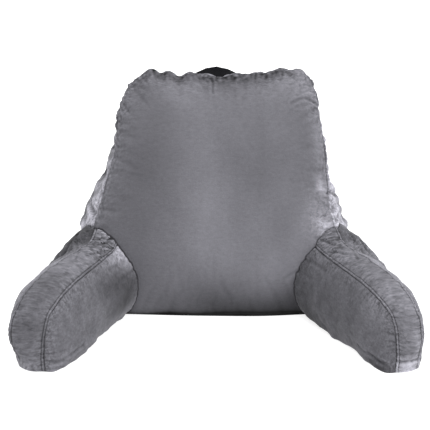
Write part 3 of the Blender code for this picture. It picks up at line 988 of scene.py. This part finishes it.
def shade_relief(obj, on_panels=1.0):
    """Painted light and shade: ridges are painted lighter and valleys darker, except on the seams
    themselves.
    """
    share = 1 - bell(read_values(obj.data, "seam"), RELIEF_SEAM_WIDTH)
    strength = RELIEF_SHADE * np.where(read_faces(obj.data).panel, on_panels, 1) * share
    nap = read_values(obj.data, "nap")
    write_values(obj.data, nap=(1 + nap) * (1 + strength * relief(obj.data)) - 1)


def tree_of(obj):
    return BVHTree.FromPolygons(
        [vertex.co for vertex in obj.data.vertices],
        [polygon.vertices for polygon in obj.data.polygons],
    )


def distance_to(points, tree, within=0.03):
    """Each point's distance to a surface, below 0 inside it, and the reach where it is farther."""
    gaps = np.full(len(points), within)
    for number, point in enumerate(points):
        position = Vector(point)
        nearest, normal, _, gap = tree.find_nearest(position, within)
        if nearest is not None:
            gaps[number] = -gap if (position - nearest).dot(normal) < 0 else gap
    return gaps


def press(obj, floor, sink, forward=0):
    """Sinks the cloth and draws it forwards; the bottom stays flat and the rest above it."""
    points = read_points(obj.data)
    points -= read_normals(obj.data) * sink[:, None]
    points[:, 1] -= forward
    points[:, 2] = np.where(floor, 0, np.maximum(points[:, 2], LIFT))
    write_points(obj.data, points)
    return points


def build_back():
    obj = make_cushion("back_rest_velvet", BACK_CELLS, back_rest)
    on = read_faces(obj.data)
    smooth(obj, on.panel & on.top, SEAM_ROUNDS)
    left, right = CORNER_ACROSS
    smooth(obj, on.top & (on.b < CORNER_BEHIND) & (on.a < right) & (on.a > left), CORNER_ROUNDS)
    front_seam, rear_seam = [
        seam_line(back_rest, (-1, b, -1), (-1, b, 1), (1, b, 1), (1, b, -1)) for b in (-1, 1)
    ]
    points = read_points(obj.data)
    gathered = BACK_FRONT_GROWTH + spot(near_line(points, front_seam)[0], amount=0.035, width=0.022)
    growth = np.where(on.rear, BACK_REAR_GROWTH, gathered)
    growth[on.strip] = BACK_STRIP_GROWTH
    cap = np.where(on.strip, BACK_SIDE_CAP, BACK_PANEL_CAP)
    cap[on.top] = BACK_TOP_CAP
    let_in = np.where(on.left | on.right, BACK_LET_IN * arch(on.k, LET_IN_ARCH), 0)
    write_points(obj.data, points - read_normals(obj.data) * let_in[:, None])
    inflate(obj, on.seam | on.floor, growth, cap)

    def seen(corners):
        faces_back = all(corner.y > ON_FACE for corner in corners)
        faces_down = all(corner.z < -ON_FACE for corner in corners)
        return not faces_back and not faces_down

    refine(obj, seen)
    on = read_faces(obj.data)
    smooth(obj, ~(on.seam | on.floor), BACK_ROUNDS)

    points = read_points(obj.data)
    rest = back_rest(on.a, on.b, on.c)
    gap, along = near_line(rest, front_seam)
    rear_gap, rear_along = near_line(rest, rear_seam)
    nearest = np.minimum(gap, rear_gap)
    rear_strip_pleats = REAR_PLEAT_SHARE * pleat_depth(rear_gap, rear_along, STRIP_PLEATS, seed=5)
    sink = fold_depth(rest, back_rest, BACK_FOLDS)
    sink += np.where(on.front, pleat_depth(gap, along, FRONT_PANEL_PLEATS, seed=3), 0)
    sink += np.where(on.strip, pleat_depth(gap, along, STRIP_PLEATS, seed=4), 0)
    sink += np.where(on.strip, rear_strip_pleats, 0)
    sink += np.where(on.rear, pleat_depth(rear_gap, rear_along, FRONT_PANEL_PLEATS, seed=6), 0)
    # The seams themselves draw in, and a thin welt stands beside them.
    for distance in (gap, rear_gap):
        sink += spot(distance, amount=0.0014, width=0.0016)
        sink -= spot(distance, amount=0.0007, width=0.0026, middle=0.0046)
    # Loose cloth is never even: broad low waves, and more of them on the strips.
    waves = ripples(points, height=0.0009, length=0.090, seed=11)
    low_waves = ripples(points, height=0.0004, length=0.028, seed=12)
    long_waves = ripples(points, height=0.0018, length=0.035, seed=13, stretch=(1, 2.2, 0.8))
    waves += np.where(on.front, 0, low_waves) + np.where(on.strip, long_waves, 0)
    sink += waves * (1 - BACK_CALM * np.exp(-nearest / BACK_CALM_FADE))
    bulge = spot(on.i, amount=0.005, width=0.16, middle=0.72) * bell(on.j, BASE_BULGE_TALL)
    sink[on.floor] = 0
    points = press(obj, on.floor, sink, forward=np.where(on.front, bulge, 0))

    # Under the top seam a band of painted shade, broken into dark and light tufts; beside the
    # others, fine streaks of painted shade where shallow gathers would sink the cloth.
    by_top = np.where(on.front, np.interp(on.c, TOP_SHADE_UP, (0, 1)), 0)
    between = np.interp(on.a, TOP_SHADE_LEFT, (0, 1)) * np.interp(on.a, TOP_SHADE_RIGHT, (1, 0))
    top_shade_tufts = PAINTED_TOP_SHADE - ripples(rest, height=0.14, length=0.011, seed=14, stretch=(0.8, 1, 2.2))
    mottle = bell(gap, SEAM_MOTTLE_REACH) * ripples(rest, height=0.22, length=0.009, seed=16)
    streaks = STREAK_SHADE * pleat_depth(gap, along, PANEL_SHADE_STREAKS, seed=17)
    crumples = ripples(rest, height=0.16, length=0.016, seed=15, stretch=(1, 2, 1.2))
    # Brushed pile with painted sheen and painted shade, from the patches.
    shade = nap_shade(on, BACK_PILE_AND_PAINTED_LIGHT)
    shade -= by_top * between * spot(gap, amount=1, width=0.014, middle=0.010) * top_shade_tufts
    shade += np.where(on.front, mottle - streaks, 0)
    shade += np.where(on.strip, crumples, 0)
    wobble = ripples(rest, height=0.0003, length=0.022, seed=10)
    off_seam = np.where(on.seam, 0, np.maximum(nearest + wobble, 0))
    off_seam = np.maximum(off_seam, TOP_SEAM_OFFSET * by_top)
    crush = BACK_CRUSH + spot(gap, amount=0.30, width=0.025)
    crush += by_top * spot(gap, amount=0.34, width=0.060)
    up = spot(on.j, amount=1, width=0.10, middle=0.40)
    crush += up * spot(on.i, amount=0.5, width=0.06, middle=0.94)
    elsewhere = np.where(on.strip, BACK_STRIP_CRUSH, BACK_REAR_CRUSH)
    write_values(
        obj.data,
        nap=shade,
        seam=-np.minimum(off_seam, SEAM_REACH),
        along=np.where(gap < rear_gap, along, rear_along),
        crush=np.where(on.front, crush, elsewhere),
    )
    write_vectors(obj.data, "grain", points * np.array(BACK_GRAIN))
    return obj


def build_arm(name, side, seed, crumpled, shifts, folds, nap, back):
    inward = -np.array([side * ARM_ACROSS.x, ARM_ACROSS.y, 0])
    forward = np.array([-side * inward[1], side * inward[0], 0])
    upward = np.array([0, 0, 1])

    def place(a, b, c):
        """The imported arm, with its shifts."""
        i, j, k = (a + 1) / 2, (c + 1) / 2, (b + 1) / 2
        points = arm(a, b, c, side)
        for row in shifts:
            share = bell(i - row.along, row.long) * bell(j - row.up, row.tall)
            share *= {"front": (1 - k) ** 2, "rear": k**2, "end": 1}[row.face]
            step = row.inward * inward + row.forward * forward + row.rise * upward
            points += share[:, None] * step
        return points

    obj = make_cushion(name, ARM_CELLS, place)
    on = read_faces(obj.data, is_arm=True)
    turn = on.strip & ~on.panel & (on.a > TURN_FROM) & (on.c > TURN_ABOVE)
    smooth(obj, turn, TURN_ROUNDS)
    inner_seam, outer_seam = [
        seam_line(place, (-1, b, 1), (1, b, 1), (1, b, -1)) for b in (-1, 1)
    ]
    points = read_points(obj.data)
    nearest = np.minimum(near_line(points, outer_seam)[0], near_line(points, inner_seam)[0])
    growth = ARM_GROWTH + spot(nearest, amount=0.016, width=0.012)
    growth += np.where(on.strip, spot(on.i, amount=0.012, width=0.14, middle=0.36), 0)
    growth += np.where(on.rear, spot(on.i, amount=0.030, width=0.20, middle=0.30), 0)
    growth += np.where(on.front, spot(on.i, amount=0.006, width=0.10, middle=0.34), 0)
    growth += spot(on.j, amount=0.010, width=0.10)
    # Beside the armhole the cloth is held flat.
    back_tree = tree_of(back)
    held = bell(distance_to(points, back_tree), ARMHOLE_REACH)
    growth *= (1 - ARMHOLE_GROWTH_LOST * held) * np.where(on.front, ARM_INNER_SLACK, 1)
    cap = np.where(on.front, ARM_INNER_CAP, ARM_CAP) * (1 - ARMHOLE_CALM * held)
    inflate(obj, on.seam | on.floor | on.left, growth, cap)
    refine(obj, lambda corners: not all(corner.z < -ON_FACE for corner in corners))
    on = read_faces(obj.data, is_arm=True)
    smooth(obj, ~(on.seam | on.floor), ARM_ROUNDS)

    points = read_points(obj.data)
    rest = place(on.a, on.b, on.c)
    inner_gap, inner_along = near_line(rest, inner_seam)
    outer_gap, outer_along = near_line(rest, outer_seam)
    nearest = np.minimum(inner_gap, outer_gap)
    sink = fold_depth(rest, place, folds)
    for gap, along, face, rows, number in (
        (inner_gap, inner_along, on.front, ARM_PANEL_PLEATS, 0),
        (inner_gap, inner_along, on.strip, ARM_STRIP_PLEATS, 1),
        (outer_gap, outer_along, on.strip, ARM_STRIP_PLEATS, 2),
        (outer_gap, outer_along, on.rear, ARM_PANEL_PLEATS, 3),
    ):
        sink += np.where(face, pleat_depth(gap, along, rows, seed + number), 0)
    # A topstitched seam: a groove, a flat ridge on the strip's side, and the stitches' groove.
    wobble = ripples(rest, height=0.0002, length=0.020, seed=seed + 6)
    proud = 1 + ripples(rest, height=0.2, length=0.030, seed=seed + 7)
    for distance in (inner_gap + wobble, outer_gap + wobble):
        stitched = spot(distance, amount=0.0006, width=0.0010, middle=STITCH_PLACE)
        ridge = proud * spot(distance, amount=0.0008, width=0.0016, middle=0.0027)
        sink += spot(distance, amount=0.0013, width=0.0012)
        sink += np.where(on.strip, stitched - ridge, 0)
    waves = ripples(points, height=0.0008, length=0.060, seed=seed + 4)
    waves += ripples(points, height=0.0003, length=0.024, seed=seed + 5)
    waves *= 1 - ARM_CALM * np.exp(-nearest / ARM_CALM_FADE)
    sink += waves * (1 - ARMHOLE_CALM * bell(distance_to(points, back_tree), ARMHOLE_REACH))
    sink[on.floor] = 0
    # The rim that it stands on is uneven.
    rim = ripples(rest, height=0.0013, length=0.034, seed=seed + 8) * np.exp(-rest[:, 2] / RIM_FADE)
    sink += np.where(on.panel | on.strip, rim, 0)
    points = press(obj, on.floor, sink)

    by_root = spot(on.i, amount=1, width=0.16, middle=0.34)
    inner_crush = ARM_INNER_CRUSH + spot(on.i, amount=0.35, width=0.12, middle=0.30)
    inner_crush += spot(nearest, amount=0.30, width=0.018)
    outer_crush = ARM_CRUSH + ARM_OUTER_ROOT_CRUSH * by_root
    on_sides = np.where(on.front, inner_crush, outer_crush)
    off_seam = np.clip(nearest + wobble, 0, SEAM_REACH)
    off_seam[on.seam] = 0
    # The first value holds brushed pile with painted sheen and painted shade.
    write_values(
        obj.data,
        nap=nap_shade(on, nap),
        crush=np.where(on.strip, ARM_CRUSH + crumpled * by_root, on_sides),
        seam=np.where(on.strip, off_seam, -off_seam),
        along=np.where(inner_gap < outer_gap, inner_along, outer_along),
    )
    # The pile is streaked along the arm on its sides, and from left to right on its strip.
    lengthwise = points - ARM_GRAIN_SHORTENED * (points @ forward)[:, None] * forward
    sideways = points * np.array(ARM_STRIP_GRAIN)
    write_vectors(obj.data, "grain", np.where(on.strip[:, None], sideways, lengthwise))
    return obj


def join_arms(back, arms):
    """Draws the cloth in along the armholes and cuts the arms back to the back rest."""
    back_tree = tree_of(back)
    arm_trees = [tree_of(piece) for piece in arms]
    for number, piece in enumerate(arms):
        points = read_points(piece.data)
        outside = np.maximum(distance_to(points, back_tree), 0)
        puckers = ripples(
            points, height=0.0005, length=0.009, seed=PUCKER_SEED + number, stretch=(1, 6, 1)
        )
        sink = ARMHOLE_DRAW * np.exp(-outside / DRAW_FADE)
        sink -= spot(outside, amount=0.0004, width=0.0016, middle=0.0040)
        sink += puckers * np.exp(-outside / PUCKER_FADE)
        floor = read_faces(piece.data).floor
        press(piece, floor, np.where(floor, 0, sink))
        shade_relief(piece)
    points, normals = read_points(back.data), read_normals(back.data)
    on_floor = read_faces(back.data).floor
    for tree in arm_trees:
        beside = np.abs(distance_to(points, tree))
        sink = np.where(beside < SEAM_REACH, BACK_DRAW * np.exp(-beside / DRAW_FADE), 0)
        points -= normals * np.where(on_floor, 0, sink)[:, None]
    write_points(back.data, points)
    shade_relief(back, SMOOTH_PANEL_SHARE)
    to_arms = np.minimum(*[np.abs(distance_to(points, tree_of(piece))) for piece in arms])
    write_values(back.data, armhole=-np.minimum(to_arms, SEAM_REACH))

    cutter = add_object("cutter", back.data.copy())
    points = read_points(cutter.data) + read_normals(cutter.data) * ARM_CLEARANCE
    points[on_floor, 2] = -CUTTER_FOOT
    write_points(cutter.data, points)
    back_tree = tree_of(back)
    for piece in arms:
        cut = piece.modifiers.new("cut", "BOOLEAN")
        cut.operation = "DIFFERENCE"
        cut.solver = "MANIFOLD"
        cut.object = cutter
        depsgraph = bpy.context.evaluated_depsgraph_get()
        data = bpy.data.meshes.new_from_object(piece.evaluated_get(depsgraph))
        piece.modifiers.remove(cut)
        old = piece.data
        piece.data = data
        bpy.data.meshes.remove(old)
        gap = distance_to(read_points(data), back_tree) - ARM_CLEARANCE
        write_values(data, armhole=np.clip(gap, 0, SEAM_REACH))
    data = cutter.data
    bpy.data.objects.remove(cutter)
    bpy.data.meshes.remove(data)


def build_strap(back):
    """The webbing handle: it follows the top strip at its ends and arches over it between them."""
    cloth, packed = tree_of(back), tree_of(bpy.data.objects["back_cushion"])
    mesh = bmesh.new()
    along, across = STRAP_CELLS
    bmesh.ops.create_grid(mesh, x_segments=along, y_segments=across, size=1)
    flat = mesh.loops.layers.uv.new("flat")
    half_length = STRAP_ROWS[-1].x
    middle_y = STRAP_Y + DEPTH_OFFSET
    for face in mesh.faces:
        for loop in face.loops:
            x, y, _ = loop.vert.co
            loop[flat].uv = (x * half_length, y * STRAP_WIDTH / 2)
    for vertex in mesh.verts:
        x = vertex.co.x * half_length
        reach = vertex.co.y * STRAP_WIDTH / 2
        tilt = math.radians(column(STRAP_ROWS, "x", "tilt_deg", x))
        height = STRAP_SAG * column(STRAP_ROWS, "x", "height", x)
        y = middle_y + reach * math.cos(tilt)
        above, down = Vector((x, y, 1)), Vector((0, 0, -1))
        arched = min(1, height / STRAP_FREE_HEIGHT)
        sewn_to = cloth.ray_cast(above, down)[0].z
        ground = sewn_to + (packed.ray_cast(above, down)[0].z - sewn_to) * arched
        vertex.co = Vector((x, y, ground + STRAP_END_LIFT + height + reach * math.sin(tilt)))
    data = bpy.data.meshes.new("handle_webbing")
    mesh.to_mesh(data)
    mesh.free()
    obj = add_object("handle_webbing", data)
    thicken = obj.modifiers.new("thickness", "SOLIDIFY")
    thicken.thickness = STRAP_THICKNESS
    thicken.offset = 1.0
    return obj


class Graph:
    """Short forms for building a material's nodes."""

    def __init__(self, name):
        self.material = bpy.data.materials.new(name)
        self.material.use_nodes = True
        self.nodes = self.material.node_tree.nodes
        self.links = self.material.node_tree.links
        self.shader = self.nodes["Principled BSDF"]

    def node(self, kind, settings=None, **inputs):
        """A new node; i0, i1 and so on are its inputs by number, and the rest by name."""
        node = self.nodes.new(kind)
        for key, value in (settings or {}).items():
            setattr(node, key, value)
        for key, value in inputs.items():
            by_number = key[0] == "i" and key[1:].isdigit()
            socket = node.inputs[int(key[1:]) if by_number else key.replace("_", " ")]
            if isinstance(value, bpy.types.NodeSocket):
                self.links.new(value, socket)
            else:
                socket.default_value = value
        return node

    def math(self, operation, *values):
        inputs = {"i%d" % number: value for number, value in enumerate(values)}
        return self.node("ShaderNodeMath", {"operation": operation}, **inputs).outputs[0]

    def value(self, attribute):
        return self.node("ShaderNodeAttribute", {"attribute_name": attribute}).outputs["Fac"]

    def sum(self, terms, start):
        """start plus each socket times its weight."""
        total = start
        for socket, weight in terms:
            total = self.math("MULTIPLY_ADD", socket, weight, total)
        return total

    def scaled(self, operation, **inputs):
        settings = {"operation": operation}
        return self.node("ShaderNodeVectorMath", settings, **inputs).outputs["Vector"]

    def stitches(self):
        """1 on the topstitching beside an arm's seams: dashes along a line."""
        off_line = self.math("ABSOLUTE", self.math("SUBTRACT", self.value("seam"), STITCH_PLACE))
        on_line = self.math("LESS_THAN", off_line, STITCH_HALF_WIDTH)
        turns = self.math("MULTIPLY", self.value("along"), 2 * math.pi / STITCH_LENGTH)
        on_dash = self.math("GREATER_THAN", self.math("SINE", turns), STITCH_GAP_BELOW)
        return self.math("MULTIPLY", on_line, on_dash)

    def profile(self, attribute, rows):
        """A value read from a table over a distance stored on the vertices."""
        distance = self.value(attribute)
        first, last = rows[0].distance, rows[-1].distance
        spread = {"Value": distance, "From_Min": first, "From_Max": last}
        place = self.node("ShaderNodeMapRange", None, **spread).outputs["Result"]
        ramp = self.node("ShaderNodeValToRGB", None, Fac=place)
        stops = ramp.color_ramp.elements
        while len(stops) < len(rows):
            stops.new(0.5)
        for stop, row in zip(stops, rows):
            stop.position = (row.distance - first) / (last - first)
            stop.color = (row.value, row.value, row.value, 1)
        return ramp.outputs["Color"]

    def noise(self, coordinates, scale, detail, roughness):
        inputs = {"Vector": coordinates, "Scale": scale, "Detail": detail, "Roughness": roughness}
        return self.node("ShaderNodeTexNoise", None, **inputs).outputs[0]

    def finish(self, tint, lightness, height, strength, distance, **values):
        """Colour and bump from sockets, and the shader's other values as plain numbers."""
        colour = self.scaled("SCALE", i0=tint, Scale=lightness)
        depth = {"Strength": strength, "Distance": distance}
        bump = self.node("ShaderNodeBump", None, Height=height, **depth).outputs["Normal"]
        self.links.new(colour, self.shader.inputs["Base Color"])
        self.links.new(bump, self.shader.inputs["Normal"])
        self.set_values(**values)
        return self.material

    def set_values(self, **values):
        for name, value in values.items():
            self.shader.inputs[name.replace("_", " ")].default_value = value


def velvet():
    g = Graph("grey_velvet")
    place = g.node("ShaderNodeTexCoord").outputs["Object"]
    grain = g.node("ShaderNodeAttribute", {"attribute_name": "grain"}).outputs["Vector"]
    crush = g.value("crush")
    upright = g.scaled("MULTIPLY", i0=place, i1=(1, 1, 0.3))
    broad = g.noise(upright, scale=16.0, detail=3.0, roughness=0.55)
    mottle = g.noise(place, scale=160.0, detail=3.0, roughness=0.6)
    streaks = g.noise(grain, scale=230.0, detail=3.0, roughness=0.6)
    fine = g.noise(place, scale=520.0, detail=2.0, roughness=0.5)
    # Fine crease lines painted in, a painted highlight beside a painted shade: where a slow noise
    # passes two values.
    swell = g.noise(grain, scale=60.0, detail=3.0, roughness=0.6)
    creases = []
    for middle in CREASE_VALUES:
        off = g.math("ABSOLUTE", g.math("SUBTRACT", swell, middle))
        line = g.math("SUBTRACT", 1.0, g.math("MULTIPLY", off, CREASE_SHARPNESS))
        creases.append(g.math("MAXIMUM", line, 0.0))
    crease_light_and_shade = g.math("MULTIPLY", g.math("SUBTRACT", *creases), crush)
    tufted = g.sum([(mottle, 1.1), (streaks, 2.0), (crease_light_and_shade, 0.50)], -1.55)
    slow = g.sum([(broad, 0.36), (fine, 0.35)], -0.355)
    uneven = g.math("ADD", g.math("MULTIPLY", tufted, crush), slow)
    # Lightness: random tone, times the brushed pile and painted light and shade stored on the
    # vertices.
    lightness = g.math("MULTIPLY", g.math("ADD", uneven, 1.0), g.math("ADD", g.value("nap"), 1.0))
    # The painted lines of shade and highlight beside the seams come and go.
    least, most = LINE_SHARES
    share = g.sum([(g.noise(place, scale=55.0, detail=2.0, roughness=0.6), 2.4)], -0.15)
    share = g.math("MAXIMUM", g.math("MINIMUM", share, most), least)
    for attribute, rows, weight in (("seam", SEAM_PAINTED_LIGHT, share), ("armhole", ARMHOLE_PAINTED_LIGHT, 1.0)):
        line = g.math("MULTIPLY", g.math("SUBTRACT", g.profile(attribute, rows), 1.0), weight)
        lightness = g.math("MULTIPLY", lightness, g.math("ADD", line, 1.0))
    stitches = g.stitches()
    lightness = g.math("MULTIPLY", lightness, g.sum([(stitches, -STITCH_SHADE)], 1.0))
    bumps = [(mottle, 0.6), (streaks, 0.5), (crease_light_and_shade, 0.12), (fine, 0.25), (stitches, -0.5)]
    return g.finish(
        VELVET_GREY,
        lightness,
        height=g.sum(bumps, 0.0),
        strength=0.45,
        distance=0.0014,
        Roughness=0.85,
        Specular_IOR_Level=0.15,
        Sheen_Weight=0.08,
        Sheen_Roughness=0.45,
        Sheen_Tint=(0.95, 0.95, 1.0, 1),
    )


def webbing():
    """Black webbing: a close weave of ribs, a little worn."""
    g = Graph("black_webbing")
    flat = g.node("ShaderNodeUVMap", {"uv_map": "flat"}).outputs["UV"]
    split = g.node("ShaderNodeSeparateXYZ", None, Vector=flat).outputs
    ends = g.math("SINE", g.math("MULTIPLY", split["X"], 2 * math.pi / WEFT_PITCH))
    sides = g.math("SINE", g.math("MULTIPLY", split["Y"], 2 * math.pi / WARP_PITCH))
    weave = g.math("MULTIPLY", ends, sides)
    worn = g.noise(flat, scale=60.0, detail=3.0, roughness=0.6)
    lightness = g.sum([(weave, 0.25), (worn, 0.8)], 0.6)
    return g.finish(
        WEBBING_BLACK,
        lightness,
        height=weave,
        strength=0.6,
        distance=0.0005,
        Roughness=0.75,
        Specular_IOR_Level=0.06,
    )


def add_sun(name, azimuth, elevation, spread, strength):
    """A soft far light; azimuth 0 shines from the camera's side and 90 from the right."""
    data = bpy.data.lights.new(name, "SUN")
    data.angle = math.radians(spread)
    data.energy = strength
    turn, rise = math.radians(azimuth), math.radians(elevation)
    level = math.cos(rise)
    shining = Vector((math.sin(turn) * level, -math.cos(turn) * level, math.sin(rise)))
    add_object(name, data).rotation_euler = shining.to_track_quat("Z", "Y").to_euler()


def build_studio():
    bpy.ops.mesh.primitive_plane_add(size=FLOOR_SIZE, location=FLOOR_MIDDLE)
    floor = bpy.context.object
    floor.name = "studio_floor"
    pale = Graph("pale_floor")
    pale.set_values(Base_Color=(0.45, 0.45, 0.45, 1), Roughness=0.9)
    pale.set_values(Emission_Color=(1, 1, 1, 1), Emission_Strength=0.8)
    floor.data.materials.append(pale.material)
    world = bpy.data.worlds.new("studio")
    bpy.context.scene.world = world
    world.use_nodes = True
    background = world.node_tree.nodes["Background"]
    background.inputs["Color"].default_value = (1, 1, 1, 1)
    background.inputs["Strength"].default_value = 0.7
    add_sun("top_light", azimuth=20, elevation=65, spread=80, strength=3.0)
    add_sun("right_light", azimuth=60, elevation=35, spread=60, strength=1.2)
    data = bpy.data.cameras.new("photo_camera")
    data.lens = CAMERA_LENS
    data.sensor_width = 36
    camera = add_object("photo_camera", data)
    camera.location = (CAMERA_X, DEPTH_OFFSET - CAMERA_DISTANCE, CAMERA_HEIGHT)
    camera.rotation_euler = (math.radians(90 - CAMERA_PITCH_DEG), 0, 0)
    bpy.context.scene.camera = camera
    bpy.context.scene.view_settings.view_transform = "Standard"


back = build_back()
arms = [
    build_arm(
        "arm_left_velvet",
        side=-1,
        seed=LEFT_ARM_SEED,
        crumpled=LEFT_ARM_CRUMPLED,
        shifts=LEFT_ARM_SHIFTS,
        folds=LEFT_ARM_FOLDS,
        nap=LEFT_ARM_PILE_AND_PAINTED_LIGHT,
        back=back,
    ),
    build_arm(
        "arm_right_velvet",
        side=1,
        seed=RIGHT_ARM_SEED,
        crumpled=RIGHT_ARM_CRUMPLED,
        shifts=RIGHT_ARM_SHIFTS,
        folds=RIGHT_ARM_FOLDS,
        nap=RIGHT_ARM_PILE_AND_PAINTED_LIGHT,
        back=back,
    ),
]
join_arms(back, arms)
strap = build_strap(back)
cloth = velvet()
for piece, node in zip([back] + arms, ["back_cushion", "arm_left", "arm_right"]):
    piece.data.shade_smooth()
    piece.data.set_sharp_from_angle(angle=math.radians(SHARP_ANGLE_DEG))
    piece.data.materials.clear()
    piece.data.materials.append(cloth)
    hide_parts(node)
    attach(piece, "root")
strap.data.shade_smooth()
strap.data.materials.append(webbing())
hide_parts("handle_strap")
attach(strap, "root")
build_studio()
